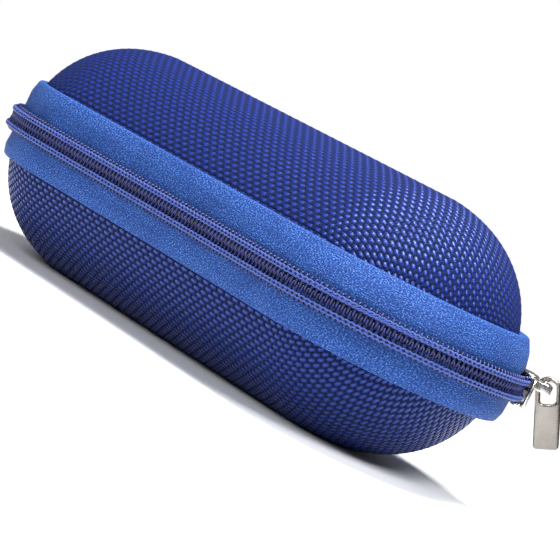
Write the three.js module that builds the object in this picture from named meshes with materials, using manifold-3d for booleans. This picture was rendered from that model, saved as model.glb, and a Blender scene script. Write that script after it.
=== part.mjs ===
// Zipped hard-shell eyeglasses case, modelled closed and standing on its flat bottom.
// Millimetres, +Z up. X runs along the case, -Y is the zipped front, +Y the hinge side.
// The origin is at the middle of the bottom face.
//
// Both halves are moulded laminates: woven fabric outside, foam board, thin lining.
// A coil zip runs round the front and both ends, and a woven band hinges the halves.
import * as THREE from 'three';
import { mergeVertices } from 'three/addons/utils/BufferGeometryUtils.js';
import Module from 'manifold-3d';

// ---- driving dimensions --------------------------------------------------------
const SHELL_RADIUS = 34;        // half width of the case, and the radius of its round ends
const SPINE = 46;               // half the length of the straight sides
const LOWER_DEPTH = 31;         // zip plane down to the bottom face
const UPPER_HEIGHT = 32.5;      // zip plane up to the crown
const BULGE = 2.2;              // superellipse exponent of the shells' cross-section
const REST_FLAT = 11;           // half width of the flat that the case stands on
const CROWN_FLAT = 5;           // half width of the nearly flat crown

const FABRIC = 1.0;             // outer woven fabric
const FOAM = 2.5;               // moulded foam board
const LINING = 0.5;             // inner lining
const GAP = 0.3;                // air between neighbouring layers

const RIM = 5.2;                // height of a shell's raw edge above the zip plane
const BINDING = 0.8;            // thickness of the rim binding
const BINDING_LIP = 1.5;        // how far the binding reaches up over the lining
const BINDING_EASE = 1.1;       // slack between the lining and the binding's inner leg
const SEAM_THREAD = 0.4;        // thickness of the thread that sews the binding
const LOWER_BAND = 10;          // zip plane to the lower edge of the woven band
const UPPER_BAND = 11.5;        // zip plane to its upper edge
const TAPE = 0.8;               // zip tape, single
const FOLD = 1.6;               // zip tape where it is folded double
const BEND = 4.6;               // height at which the tape leaves the chain's plane
const EDGE_ROUND = 0.5;         // chamfer along the folded edge

// Beside the parked slider the chain stands further out from the case than elsewhere.
const LIFT = 2.4;
const LIFT_START = 0;           // x on the front where the lift begins
const LIFT_FULL = -70;          // angles on the right end, from +X towards +Y:
const LIFT_EASE = 50;           // full lift is reached, begins to ease off,
const LIFT_END = 75;            // and is gone again
const UPPER_EDGE_LIFT = 0.3;    // share of the lift that the upper tape's edge takes
const LOWER_EDGE_LIFT = 0.8;    // and the lower tape's

const COIL_GAP = 0.75;          // zip plane to the edge of each coil
const COIL_WIDTH = 2.3;
const COIL_HEIGHT = 1.8;
const COIL_WALL = 0.5;
const STITCH = 0.35;            // height of the sewing on top of the coil
const STITCH_HALF = 0.8;        // half its width

const PLATE = 0.9;              // slider plates
const SLIDER_SPAN = 19;         // degrees of arc that the slider covers
const SLIDER_HALF_WIDTH = 4.2;
const FLANGE = 0.7;             // width of the lips that hold the coils
const FLANGE_GAP = 0.4;         // between a coil and its lip
const NECK_HALF = 0.42;         // the slider's neck runs between the two coils
const BAIL_WIDTH = 2.4;
const BAIL_BAR = 1.0;           // thickness of the bail
const BAIL_WINDOW = 3.4;        // half length of the opening under the bail
const BAIL_REACH = 3.3;         // outer plate to the middle of the bail's bar
const BAIL_RISE = 2.4;          // middle of the bail above the zip plane
const BAIL_CORNER = 1.5;
const PULL_WIDTH = 6.2;
const PULL_LENGTH = 17.4;
const PULL_THICKNESS = 1.4;
const PULL_CORNER = 3;        // rounding of the eye's end
const PULL_EYE = 1.9;           // half width of the eye's hole
const PULL_EYE_DROP = 1.6;      // how much further the hole reaches down than up
const PULL_FOOT = 1;            // rounding of the free end and of the hole

const ARC_STEPS = 12;           // facets on each round end
const RING_STEPS = 7;           // facets from a shell's rim to its flat
const LIFT_STEPS = 6;           // facets along the front while the chain lifts

const LEFT_END_ANGLE = 56;      // the chain beyond these angles stays closed by the hinge
const RIGHT_END_ANGLE = 26;
const SLIDER_ANGLE = 40;        // where the slider is parked, from +X towards +Y
const HINGE_FREE = 3.9;         // nothing fixed to the lower half reaches higher than this
                                // beside the hinge line, where the lid's rim turns past
const PULL_SWING = 24;          // how far the pull stands out from plumb

// ---- derived radii, measured from the spine ------------------------------------
const TAPE_IN = SHELL_RADIUS + GAP;
const TAPE_OUT = TAPE_IN + TAPE;
const COIL_IN = TAPE_OUT + GAP;
const COIL_OUT = COIL_IN + COIL_HEIGHT;
const STITCH_IN = COIL_OUT + GAP;
const STITCH_OUT = STITCH_IN + STITCH;
const COIL_MIDDLE = COIL_GAP + COIL_WIDTH / 2;

const rad = THREE.MathUtils.degToRad;

// ---- materials -----------------------------------------------------------------
const shellFabric = () => new THREE.MeshStandardMaterial({ color: 0x15218f, roughness: 0.55 });
const bandFabric = () => new THREE.MeshStandardMaterial({ color: 0x2350d8, roughness: 0.8 });
const foamBoard = () => new THREE.MeshStandardMaterial({ color: 0x20222a, roughness: 0.95 });
const liningCloth = () => new THREE.MeshStandardMaterial({ color: 0x1a1c24, roughness: 0.9 });
const coilPlastic = () => new THREE.MeshStandardMaterial({ color: 0x1c2c8c, roughness: 0.4 });
const sewingThread = () => new THREE.MeshStandardMaterial({ color: 0x2d5be0, roughness: 0.7 });
const nickel = () => new THREE.MeshStandardMaterial({ color: 0xc4c4c8, roughness: 0.25, metalness: 1 });

// ---- the plan outline ------------------------------------------------------------
// A station is { x, angle }: a point of the spine, and an outward direction from it.
// Facets fall on whole multiples of the facet angle, so that neighbours share them.
function arcStations(x, from, to, facet = 180 / ARC_STEPS) {
  const [low, high] = [Math.min(from, to), Math.max(from, to)];
  const angles = [low];
  for (let i = Math.floor(low / facet) + 1; i * facet < high; i += 1) {
    angles.push(i * facet);
  }
  angles.push(high);
  if (from > to) {
    angles.reverse();
  }
  return angles.map((degrees) => ({ x, angle: rad(degrees) }));
}

function planPoint(station, r) {
  return [station.x + r * Math.cos(station.angle), r * Math.sin(station.angle)];
}

// Stations along the right half of the front, where the chain begins to lift.
const frontStations = [];
for (let i = 0; i < LIFT_STEPS; i += 1) {
  frontStations.push({ x: LIFT_START + ((SPINE - LIFT_START) * i) / LIFT_STEPS, angle: rad(-90) });
}

// All the way round, starting at the hinge end of the left side, anticlockwise.
const shellLoop = [...arcStations(-SPINE, 90, 270), ...arcStations(SPINE, -90, 90)];
const bandLoop = [...arcStations(-SPINE, 90, 270), ...frontStations, ...arcStations(SPINE, -90, 90)];

// From one angle on the left end round the front to one angle on the right end.
function frontRun(leftAngle, rightAngle) {
  return [
    ...arcStations(-SPINE, 180 - leftAngle, 270),
    ...frontStations,
    ...arcStations(SPINE, -90, rightAngle),
  ];
}

// How far the chain is lifted at a station.
function liftAt({ x, angle }) {
  const degrees = THREE.MathUtils.radToDeg(angle);
  if (x < LIFT_START || degrees > LIFT_END) {
    return 0;
  }
  const arc = Math.max(0, angle - rad(-90)) * SHELL_RADIUS;
  const fullAt = SPINE + rad(LIFT_FULL + 90) * SHELL_RADIUS;
  const rise = THREE.MathUtils.smoothstep(x + arc, LIFT_START, fullAt);
  const fall = THREE.MathUtils.smoothstep(degrees, LIFT_EASE, LIFT_END);
  return LIFT * rise * (1 - fall);
}

// ---- mesh helpers ----------------------------------------------------------------
function geometryFrom(positions, indices) {
  const geometry = new THREE.BufferGeometry();
  geometry.setAttribute('position', new THREE.Float32BufferAttribute(positions, 3));
  geometry.setIndex(indices);
  return geometry;
}

// A closed section carried round the stations. sectionAt gives its [r, z] pairs at a
// station, anticlockwise seen with r to the right and z up; the stations run anticlockwise.
function sweep(stations, sectionAt, closed) {
  const positions = [];
  const indices = [];
  const n = sectionAt(stations[0]).length;
  for (const station of stations) {
    for (const [r, z] of sectionAt(station)) {
      const [x, y] = planPoint(station, r);
      positions.push(x, y, z);
    }
  }
  const spans = closed ? stations.length : stations.length - 1;
  for (let i = 0; i < spans; i += 1) {
    const a = i * n;
    const b = ((i + 1) % stations.length) * n;
    for (let j = 0; j < n; j += 1) {
      const k = (j + 1) % n;
      indices.push(a + j, b + j, b + k, a + j, b + k, a + k);
    }
  }
  if (!closed) {
    const outline = sectionAt(stations[0]).map(([r, z]) => new THREE.Vector2(r, z));
    const last = (stations.length - 1) * n;
    for (const [i, j, k] of THREE.ShapeUtils.triangulateShape(outline, [])) {
      indices.push(i, j, k, last + i, last + k, last + j);
    }
  }
  return geometryFrom(positions, indices);
}

const rectangle = (r0, r1, z0, z1) => [[r0, z0], [r1, z0], [r1, z1], [r0, z1]];
const steady = (section) => () => section;
const lifted = (section) => (station) => section.map(([r, z]) => [r + liftAt(station), z]);

// ---- booleans --------------------------------------------------------------------
const wasm = await Module();
wasm.setup();

function solidOf(geometry) {
  const bare = geometry.clone();
  bare.deleteAttribute('normal');
  bare.deleteAttribute('uv');
  const merged = mergeVertices(bare, 1e-4);
  return new wasm.Manifold(new wasm.Mesh({
    numProp: 3,
    vertProperties: new Float32Array(merged.attributes.position.array),
    triVerts: new Uint32Array(merged.index.array),
  }));
}

function geometryOf(solid) {
  const mesh = solid.getMesh();
  return geometryFrom(Array.from(mesh.vertProperties), Array.from(mesh.triVerts));
}

// ---- the object ------------------------------------------------------------------
const glassesCase = new THREE.Group();
const raised = new THREE.Group();      // the zip plane, where every piece is laid out
raised.position.z = LOWER_DEPTH;
glassesCase.add(raised);

function addMesh(parent, name, geometry, material) {
  geometry.computeVertexNormals();
  const mesh = new THREE.Mesh(geometry, material);
  mesh.name = name;
  parent.add(mesh);
  return mesh;
}

// ---- shells ----------------------------------------------------------------------
// Points [r, z] of a shell's profile, inset by a depth, from its rim to its flat.
function shellProfile(height, flatHalf, inset) {
  const r0 = SHELL_RADIUS - inset;
  const h0 = height - inset;
  const flat = flatHalf - inset / 2;
  const start = Math.asin((RIM / h0) ** (BULGE / 2));
  const end = Math.acos((flat / r0) ** (BULGE / 2));
  const shoulder = h0 * Math.sin(end) ** (2 / BULGE);
  const points = [];
  for (let i = 0; i <= RING_STEPS; i += 1) {
    const t = start + ((end - start) * i) / RING_STEPS;
    const r = r0 * Math.cos(t) ** (2 / BULGE);
    const z = h0 * (h0 / shoulder) * Math.sin(t) ** (2 / BULGE);
    points.push([r, z]);
  }
  points[0][1] = RIM;
  return points;
}

// One layer of a shell, between two insets, closed over its flat top and open at its rim.
function shellLayer(height, flatHalf, outerInset, innerInset) {
  const outer = shellProfile(height, flatHalf, outerInset);
  const inner = shellProfile(height, flatHalf, innerInset).reverse();
  const section = [...inner, ...outer];
  const n = section.length;
  const positions = [];
  const indices = [];
  for (const station of shellLoop) {
    for (const [r, z] of section) {
      const [x, y] = planPoint(station, r);
      positions.push(x, y, z);
    }
  }
  const rings = shellLoop.length;
  for (let i = 0; i < rings; i += 1) {
    const a = i * n;
    const b = ((i + 1) % rings) * n;
    for (let j = 0; j < n - 1; j += 1) {
      const k = j + 1;
      indices.push(a + j, b + j, b + k, a + j, b + k, a + k);
    }
  }
  // the flats: a strip from the front side of the loop to the back side
  const half = rings / 2;
  for (const [j, inside] of [[0, true], [n - 1, false]]) {
    for (let i = 0; i < half - 1; i += 1) {
      const p = i * n + j;
      const q = (i + 1) * n + j;
      const s = (rings - 1 - i) * n + j;
      const t = (rings - 2 - i) * n + j;
      if (inside) {
        indices.push(p, s, t, p, t, q);
      } else {
        indices.push(p, t, s, p, q, t);
      }
    }
  }
  return geometryFrom(positions, indices);
}

// Turns a geometry made for the upper half over onto the lower half.
function turnedDown(geometry) {
  const position = geometry.attributes.position;
  for (let i = 0; i < position.count; i += 1) {
    position.setZ(i, -position.getZ(i));
  }
  const index = geometry.index;
  for (let i = 0; i < index.count; i += 3) {
    const b = index.getX(i + 1);
    index.setX(i + 1, index.getX(i + 2));
    index.setX(i + 2, b);
  }
  return geometry;
}

const foamInset = FABRIC + GAP;
const liningInset = foamInset + FOAM + GAP;
const wall = liningInset + LINING;

// ---- sections of the band, all for the upper half, as [r, z] ------------------------
// The tape: single under the coil, folded double over the shell, whose side it follows.
function shellRadiusAt(z, height) {
  return SHELL_RADIUS * (1 - (z / height) ** BULGE) ** (1 / BULGE);
}

function tapeSection(half, station, innerEdge) {
  const lift = liftAt(station);
  const edgeLift = lift * half.edgeLift;
  const middle = (BEND + half.band) / 2;
  const seat = (z) => shellRadiusAt(z, half.height) + GAP;
  const inner = [
    [seat(half.band) + edgeLift, half.band],
    [seat(middle) + (lift + edgeLift) / 2, middle],
    [TAPE_IN + lift, BEND],
  ];
  const outer = [
    [TAPE_OUT + lift, BEND],
    [seat(middle) + FOLD + (lift + edgeLift) / 2, middle],
    [seat(half.band) + FOLD + edgeLift, half.band - EDGE_ROUND],
    [seat(half.band) + FOLD - EDGE_ROUND + edgeLift, half.band],
  ];
  if (innerEdge < BEND) {
    inner.push([TAPE_IN + lift, innerEdge]);
    outer.unshift([TAPE_OUT + lift, innerEdge]);
  }
  return [...inner, ...outer];
}

const endFlap = rectangle(TAPE_IN, TAPE_OUT, COIL_GAP, HINGE_FREE);

// The coil: a rounded tube lying flat on the tape, open at both ends, round its filler cord.
function ovalSection(r0, r1, z0, z1, sides) {
  const points = [];
  for (let i = 0; i < sides; i += 1) {
    const t = (2 * Math.PI * (i + 0.5)) / sides;
    const r = (r0 + r1) / 2 + ((r1 - r0) / 2) * Math.cos(t) / Math.cos(Math.PI / sides);
    const z = (z0 + z1) / 2 + ((z1 - z0) / 2) * Math.sin(t) / Math.cos(Math.PI / sides);
    points.push([r, z]);
  }
  return points;
}
const COIL_SIDES = 8;
const coilOutside = ovalSection(COIL_IN, COIL_OUT, COIL_GAP, COIL_GAP + COIL_WIDTH, COIL_SIDES);
const coilInside = ovalSection(COIL_IN + COIL_WALL, COIL_OUT - COIL_WALL,
  COIL_GAP + COIL_WALL, COIL_GAP + COIL_WIDTH - COIL_WALL, COIL_SIDES);
const cordInset = COIL_WALL + GAP / 2;
const cordSection = ovalSection(COIL_IN + cordInset, COIL_OUT - cordInset,
  COIL_GAP + cordInset, COIL_GAP + COIL_WIDTH - cordInset, 6);

// A tube along the stations, with both ends open.
function tube(stations, outside, inside) {
  const positions = [];
  const indices = [];
  const n = outside.length;
  for (const station of stations) {
    for (const [r, z] of [...outside, ...inside]) {
      const [x, y] = planPoint(station, r + liftAt(station));
      positions.push(x, y, z);
    }
  }
  for (let i = 0; i < stations.length - 1; i += 1) {
    const a = 2 * n * i;
    const b = a + 2 * n;
    for (let j = 0; j < n; j += 1) {
      const k = (j + 1) % n;
      indices.push(a + j, b + j, b + k, a + j, b + k, a + k);
      indices.push(a + n + j, b + n + k, b + n + j, a + n + j, a + n + k, b + n + k);
    }
  }
  const last = 2 * n * (stations.length - 1);
  for (let j = 0; j < n; j += 1) {
    const k = (j + 1) % n;
    indices.push(j, k, n + k, j, n + k, n + j);
    indices.push(last + j, last + n + k, last + k, last + j, last + n + j, last + n + k);
  }
  return geometryFrom(positions, indices);
}

// The sewing that holds the coil: a low ribbon along the top of it.
const stitchSection = rectangle(STITCH_IN, STITCH_OUT,
  COIL_MIDDLE - STITCH_HALF, COIL_MIDDLE + STITCH_HALF);

// The binding folded over the raw edges of the foam and the lining.
const bindingIn = SHELL_RADIUS - wall - BINDING - BINDING_EASE;
const bindingOut = SHELL_RADIUS - 0.2;
const bindingSection = [
  [bindingIn, RIM - GAP - BINDING], [bindingOut, RIM - GAP - BINDING],
  [bindingOut, RIM - GAP], [bindingIn + BINDING, RIM - GAP],
  [bindingIn + BINDING, RIM + BINDING_LIP], [bindingIn, RIM + BINDING_LIP],
];

// The seam that holds the binding, a thread run just inside it.
const seamSection = rectangle(bindingIn - GAP - SEAM_THREAD, bindingIn - GAP,
  RIM + SEAM_THREAD, RIM + 3 * SEAM_THREAD);

// The tape is folded all the way round and reaches in to the coil where the chain opens.
function tapeGeometry(half) {
  const folded = sweep(bandLoop, (station) => tapeSection(half, station, BEND), true);
  const bridging = sweep(half.chainRun, (station) => tapeSection(half, station, COIL_GAP), false);
  return geometryOf(solidOf(folded).add(solidOf(bridging)));
}

function addHalf(half) {
  const { prefix, chainRun, place } = half;
  const layer = (outer, inner) => shellLayer(half.height, half.flat, outer, inner);
  const pieces = [
    ['shell_fabric', layer(0, FABRIC), shellFabric()],
    ['shell_foam', layer(foamInset, foamInset + FOAM), foamBoard()],
    ['shell_lining', layer(liningInset, wall), liningCloth()],
    ['rim_binding', sweep(shellLoop, steady(bindingSection), true), liningCloth()],
    ['seam_thread', sweep(shellLoop, steady(seamSection), true), sewingThread()],
    ['zipper_tape', tapeGeometry(half), bandFabric()],
    ['zipper_coil', tube(chainRun, coilOutside, coilInside), coilPlastic()],
    ['coil_cord', sweep(chainRun, lifted(cordSection), false), sewingThread()],
    ['coil_stitching', sweep(chainRun, lifted(stitchSection), false), sewingThread()],
  ];
  for (const [name, geometry, material] of pieces) {
    addMesh(raised, `${prefix}_${name}`, place(geometry), material);
  }
}

const BACK_ANGLE = 88;          // the lower chain runs this far round both ends
addHalf({
  prefix: 'lower',
  height: LOWER_DEPTH,
  flat: REST_FLAT,
  band: LOWER_BAND,
  edgeLift: LOWER_EDGE_LIFT,
  chainRun: frontRun(BACK_ANGLE, BACK_ANGLE),
  place: turnedDown,
});
addHalf({
  prefix: 'upper',
  height: UPPER_HEIGHT,
  flat: CROWN_FLAT,
  band: UPPER_BAND,
  edgeLift: UPPER_EDGE_LIFT,
  chainRun: frontRun(LEFT_END_ANGLE, RIGHT_END_ANGLE),
  place: (geometry) => geometry,
});

// ---- closed ends of the chain --------------------------------------------------------
// Beside the hinge the upper chain never opens: it stays meshed with the lower one.
const END_CLEARANCE = 0.7;      // degrees between the two stretches
const endRuns = {
  left: arcStations(-SPINE, 180 - BACK_ANGLE, 180 - LEFT_END_ANGLE - END_CLEARANCE),
  right: arcStations(SPINE, RIGHT_END_ANGLE + END_CLEARANCE, BACK_ANGLE),
};
for (const [side, run] of Object.entries(endRuns)) {
  addMesh(raised, `${side}_end_tape`, sweep(run, lifted(endFlap), false), bandFabric());
  addMesh(raised, `${side}_end_coil`, sweep(run, lifted(coilOutside), false), coilPlastic());
  addMesh(raised, `${side}_end_stitching`, sweep(run, lifted(stitchSection), false), sewingThread());
}

// ---- hinge -----------------------------------------------------------------------------
// A woven gusset across the back between the two rims, its lining, and a seam at each end.
const HINGE_HALF = SPINE - 1;   // half length of the gusset
const SEAM_INSET = 2;           // from the gusset's end to its seam
const SEAM_HALF = 3.5;          // half height of the seam
const LINING_HALF = 2.6;        // half height of the hinge lining

function boxBetween(low, high) {
  const geometry = new THREE.BoxGeometry(high[0] - low[0], high[1] - low[1], high[2] - low[2]);
  geometry.translate((low[0] + high[0]) / 2, (low[1] + high[1]) / 2, (low[2] + high[2]) / 2);
  return geometry;
}

const liningBack = TAPE_IN - GAP;
addMesh(raised, 'hinge_gusset',
  boxBetween([-HINGE_HALF, TAPE_IN, -HINGE_FREE], [HINGE_HALF, TAPE_OUT, HINGE_FREE]),
  bandFabric());
addMesh(raised, 'hinge_lining',
  boxBetween([-HINGE_HALF, liningBack - LINING, -LINING_HALF], [HINGE_HALF, liningBack, LINING_HALF]),
  liningCloth());
for (const [side, x] of [['left', SEAM_INSET - HINGE_HALF], ['right', HINGE_HALF - SEAM_INSET]]) {
  addMesh(raised, `${side}_gusset_seam`,
    boxBetween([x - 0.5, TAPE_OUT + GAP, -SEAM_HALF], [x + 0.5, TAPE_OUT + GAP + STITCH, SEAM_HALF]),
    sewingThread());
}

// ---- slider ------------------------------------------------------------------------------
// Laid out about the centre of the right end: local x is outward, local y along the chain.
const slider = new THREE.Group();
slider.position.x = SPINE;
slider.rotation.z = rad(SLIDER_ANGLE);
raised.add(slider);

const SLIDER_FACET = 5;         // degrees
const flangeStart = COIL_GAP + COIL_WIDTH + FLANGE_GAP;
const outerPlateIn = STITCH_OUT + GAP + LIFT;
const outerPlateOut = outerPlateIn + PLATE;
const lipStart = TAPE_OUT + GAP + LIFT;
const innerPlateOut = (TAPE_IN + LIFT) * Math.cos(rad(90 / ARC_STEPS)) - GAP;
const innerPlateHalf = RIM - GAP - BINDING - FLANGE_GAP;

function sliderSweep(from, to, section) {
  return solidOf(sweep(arcStations(0, from, to, SLIDER_FACET), steady(section), false));
}

function sliderBodyGeometry() {
  const half = SLIDER_SPAN / 2;
  const plate = rectangle(outerPlateIn, outerPlateOut, -SLIDER_HALF_WIDTH, SLIDER_HALF_WIDTH);
  const inner = rectangle(innerPlateOut - PLATE, innerPlateOut, -innerPlateHalf, innerPlateHalf);
  const neck = rectangle(innerPlateOut - 0.5, outerPlateIn + 0.5, -NECK_HALF, NECK_HALF);
  const upperLip = rectangle(lipStart, outerPlateIn + 0.5, flangeStart, flangeStart + FLANGE);
  const lowerLip = rectangle(lipStart, outerPlateIn + 0.5, -flangeStart - FLANGE, -flangeStart);
  return geometryOf(sliderSweep(-half, half, plate)
    .add(sliderSweep(-half, half, inner))
    .add(sliderSweep(half - SLIDER_FACET, half, neck))
    .add(sliderSweep(-half, half, upperLip))
    .add(sliderSweep(-half, half, lowerLip)));
}

// The bail is an arch along the chain, with the pull's eye round its bar.
const barCentre = outerPlateOut + BAIL_REACH;

function bailGeometry() {
  const foot = BAIL_WINDOW + BAIL_BAR;
  const bottom = outerPlateOut + GAP;
  const under = barCentre - BAIL_BAR / 2;
  const top = barCentre + BAIL_BAR / 2;
  const corner = BAIL_CORNER;
  const arch = new THREE.Shape();
  arch.moveTo(bottom, -foot);
  arch.lineTo(top - corner, -foot);
  arch.absarc(top - corner, -foot + corner, corner, -Math.PI / 2, 0, false);
  arch.lineTo(top, foot - corner);
  arch.absarc(top - corner, foot - corner, corner, 0, Math.PI / 2, false);
  arch.lineTo(bottom, foot);
  arch.lineTo(bottom, BAIL_WINDOW);
  arch.lineTo(under, BAIL_WINDOW);
  arch.lineTo(under, -BAIL_WINDOW);
  arch.lineTo(bottom, -BAIL_WINDOW);
  arch.closePath();
  const geometry = new THREE.ExtrudeGeometry(arch,
    { depth: BAIL_WIDTH, bevelEnabled: false, curveSegments: 4 });
  geometry.translate(0, 0, BAIL_RISE - BAIL_WIDTH / 2);
  return geometry;
}

// A rectangle with its own rounding at the foot and at the top.
function roundedOutline(path, left, right, bottom, top, foot, corner) {
  path.moveTo(left + foot, bottom);
  path.lineTo(right - foot, bottom);
  path.absarc(right - foot, bottom + foot, foot, -Math.PI / 2, 0, false);
  path.lineTo(right, top - corner);
  path.absarc(right - corner, top - corner, corner, 0, Math.PI / 2, false);
  path.lineTo(left + corner, top);
  path.absarc(left + corner, top - corner, corner, Math.PI / 2, Math.PI, false);
  path.lineTo(left, bottom + foot);
  path.absarc(left + foot, bottom + foot, foot, Math.PI, 1.5 * Math.PI, false);
  path.closePath();
  return path;
}

// The pull hangs down its own -z from the bar, its face square to the chain.
function pullGeometry() {
  const half = PULL_WIDTH / 2;
  const outline = roundedOutline(new THREE.Shape(),
    -half, half, half - PULL_LENGTH, half, PULL_FOOT, PULL_CORNER);
  outline.holes.push(roundedOutline(new THREE.Path(),
    -PULL_EYE, PULL_EYE, -PULL_EYE - PULL_EYE_DROP, PULL_EYE, PULL_FOOT, PULL_FOOT));
  const geometry = new THREE.ExtrudeGeometry(outline,
    { depth: PULL_THICKNESS, bevelEnabled: false, curveSegments: 5 });
  geometry.rotateX(Math.PI / 2);
  geometry.translate(0, PULL_THICKNESS / 2, 0);
  return geometry;
}

addMesh(slider, 'slider_body', sliderBodyGeometry(), nickel());
addMesh(slider, 'slider_bail', bailGeometry(), nickel());
const pull = addMesh(slider, 'pull_tab', pullGeometry(), nickel());
pull.position.set(barCentre, 0, BAIL_RISE);
pull.rotation.y = -rad(PULL_SWING);

export default glassesCase;
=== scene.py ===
"""A zipped, woven hard-shell eyeglasses case, closed, with its pull hanging from the slider."""
import math

import bmesh
import bpy
import numpy as np
from mathutils import Matrix, Vector


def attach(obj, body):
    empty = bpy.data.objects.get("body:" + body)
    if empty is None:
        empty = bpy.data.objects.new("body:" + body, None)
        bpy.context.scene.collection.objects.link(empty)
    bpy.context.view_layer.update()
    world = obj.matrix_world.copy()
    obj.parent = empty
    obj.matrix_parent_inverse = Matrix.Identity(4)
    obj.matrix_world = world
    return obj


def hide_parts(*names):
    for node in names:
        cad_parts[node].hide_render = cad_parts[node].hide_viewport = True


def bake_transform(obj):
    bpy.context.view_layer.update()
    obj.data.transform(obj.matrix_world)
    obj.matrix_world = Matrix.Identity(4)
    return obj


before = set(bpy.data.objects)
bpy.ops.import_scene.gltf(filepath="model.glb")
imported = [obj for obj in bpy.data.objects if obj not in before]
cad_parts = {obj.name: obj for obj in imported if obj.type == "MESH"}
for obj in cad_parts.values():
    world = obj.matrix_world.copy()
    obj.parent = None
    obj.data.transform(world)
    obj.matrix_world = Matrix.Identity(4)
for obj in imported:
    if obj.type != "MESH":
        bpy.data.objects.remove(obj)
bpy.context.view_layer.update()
MM = 0.001

# ---- driving dimensions, in millimetres ---------------------------------------------
ZIP_PLANE = 31.0            # the height of the zip plane above the floor
SHELL_RADIUS = 34.0         # half width, and the radius of the round ends
SPINE = 46.0                # half the length of the straight sides
LOWER_DEPTH = 31.0
UPPER_HEIGHT = 32.5
BULGE = 2.2                 # superellipse exponent of the shells' section
REST_FLAT = 11.0            # half width of the flat under the lower shell
CROWN_FLAT = 5.0            # and of the flat on top of the upper one
RIM = 5.2                   # height of a shell's raw edge
FABRIC = 1.0
FOAM = 2.5
LINING = 0.5
GAP = 0.3
BINDING = 0.8
BINDING_LIP = 1.5
BINDING_EASE = 1.1
LOWER_BAND = 10.0           # how far each tape reaches from the zip plane
UPPER_BAND = 11.5
TAPE = 0.8
FOLD = 1.6                  # thickness of the tape where it is folded back on the shell
BEND = 4.6                  # height at which the tape turns from the chain to the shell
TAPE_EDGE = 0.75            # height of the tape's edge beside the chain
FLAP_TOP = 3.9              # height of the tape at the closed ends of the chain
LIFT = 2.4                  # how far the chain stands out beside the slider
LIFT_START = 0.0            # it begins at this distance along the front, in millimetres
LIFT_FULL = -70.0           # and is full, eases and ends at these angles round the end
LIFT_EASE = 50.0
LIFT_END = 75.0
UPPER_EDGE_LIFT = 0.3       # the share of it that the tape's outer edge follows
LOWER_EDGE_LIFT = 0.8
BACK_ANGLE = 88.0           # where the chain ends beside the hinge
LEFT_END_ANGLE = 56.0       # where the upper half's chain begins to open
RIGHT_END_ANGLE = 26.0
END_CLEARANCE = 0.7
HINGE_HALF = 46.9           # half length of the gusset cloth, up to the ends of the chain
HINGE_RISE = 4.55           # half its height
HINGE_SEAM = 43.0           # where the seam at each end of the hinge lies
HINGE_SEAM_RISE = 3.4
HINGE_SEAM_WAVES = 5.0
HINGE_SEAM_SWAY = 0.32
HINGE_SEAM_THREAD = 0.17
HINGE_LINING_RISE = 2.6
SLIDER_ANGLE = 40.0         # where the slider parks on the right-hand end
PLATE = 0.9
PLATE_SEAT = 38.15          # inside of the outer plate before the chain's lift
PLATE_TAPER = 0.28
PLATE_CORNER = 0.35
SLIDER_SPAN = 19.0          # angle that the plates cover
SLIDER_HALF_WIDTH = 4.2
INNER_HALF_WIDTH = 3.7
INNER_CHORD = 7.5           # the inner plate clears the tape's chord over this angle
NECK_HALF_WIDTH = 0.45
NECK_SPAN = 5.0
FLANGE_LOW = 3.45
FLANGE_HIGH = 4.15
PLATE_BITE = 0.45           # how far a flange reaches into the outer plate
BAIL_WIDTH = 2.4
BAIL_BAR = 1.0
BAIL_WINDOW = 3.4
BAIL_REACH = 3.3
BAIL_RISE = 2.4             # middle of the bail above the zip plane
BAIL_BEND = 1.3
BAIL_FOOT = 0.3             # how far its feet reach into the plate
PULL_WIDTH = 6.2
PULL_LENGTH = 17.4
PULL_THICKNESS = 1.4
PULL_CORNER = 3.0
PULL_FOOT = 1.0
PULL_EYE = 1.9              # half width of the eye
PULL_EYE_DROP = 1.6
PULL_EYE_CORNER = 1.5
PULL_BEVEL = 0.32
PULL_SWING = 24.0           # angle at which the pull hangs

TAPE_HUG = 0.15             # the folded tape lies this much closer than the gap to the shell
FOOT_HUG = 0.58             # and its edge presses this far in, to the hollows of the weave
WEAVE_X = 1.35              # yarn pitches of the shells' plain weave
WEAVE_V = 1.33
WEAVE_DEPTH = 0.3
WEAVE_GRID = 3              # mesh cells to each yarn
WEAVE_CRIMP = 0.3           # how far a yarn rises and dips, against its own thickness
WEAVE_ROUND = 0.6           # below 1 the yarns are fuller than a cosine
WEAVE_LEAN = 0.2            # how much deeper the dull yarns lie than the glossy ones
TEETH_PITCH = 1.3
COIL_TOP = 3.1              # height of the coil above the zip plane
COIL_HALF = 0.6             # half its thickness, to the middle of the wire
WIRE = 0.31                 # radius of the coil's wire
HEAD_REACH = 0.5            # how far a coil's heads pass the zip plane
LEG_SQUARE = 0.8            # 1 stands the coil's outer legs quite square to the chain
CORD = 0.27                 # radius of the filler cord
CORD_HEIGHT = 1.75
CORD_STEP = 1.2
STITCH_HEIGHT = 2.05
STITCH_PART = 0.24          # how far the two strands of the chain stitch stand apart
SEAM_PITCH = 3.2
SEAM_SHARE = 0.78           # the share of the pitch that one stitch covers
SEAM_DIP = (0.45, 0.12, 0.0, 0.0, 0.0, 0.12, 0.45)
BAND_PITCH = 0.5            # yarn pitch of the tapes
PATH_RADIUS = 36.0          # distances along the chain are taken at this radius
STATION = 1.5               # degrees or millimetres between stations
THREAD = 0.2                # radius of the sewing thread

TAPE_IN = SHELL_RADIUS + GAP
TAPE_OUT = TAPE_IN + TAPE
COIL_IN = TAPE_OUT + GAP
COIL_MIDDLE_R = COIL_IN + 0.9
STITCH_R = COIL_IN + 1.98
WALL = FABRIC + GAP + FOAM + GAP + LINING
BINDING_IN = SHELL_RADIUS - WALL - BINDING - BINDING_EASE
PLATE_IN = PLATE_SEAT + LIFT
PLATE_OUT = PLATE_IN + PLATE
BAR_CENTRE = PLATE_OUT + BAIL_REACH


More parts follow.
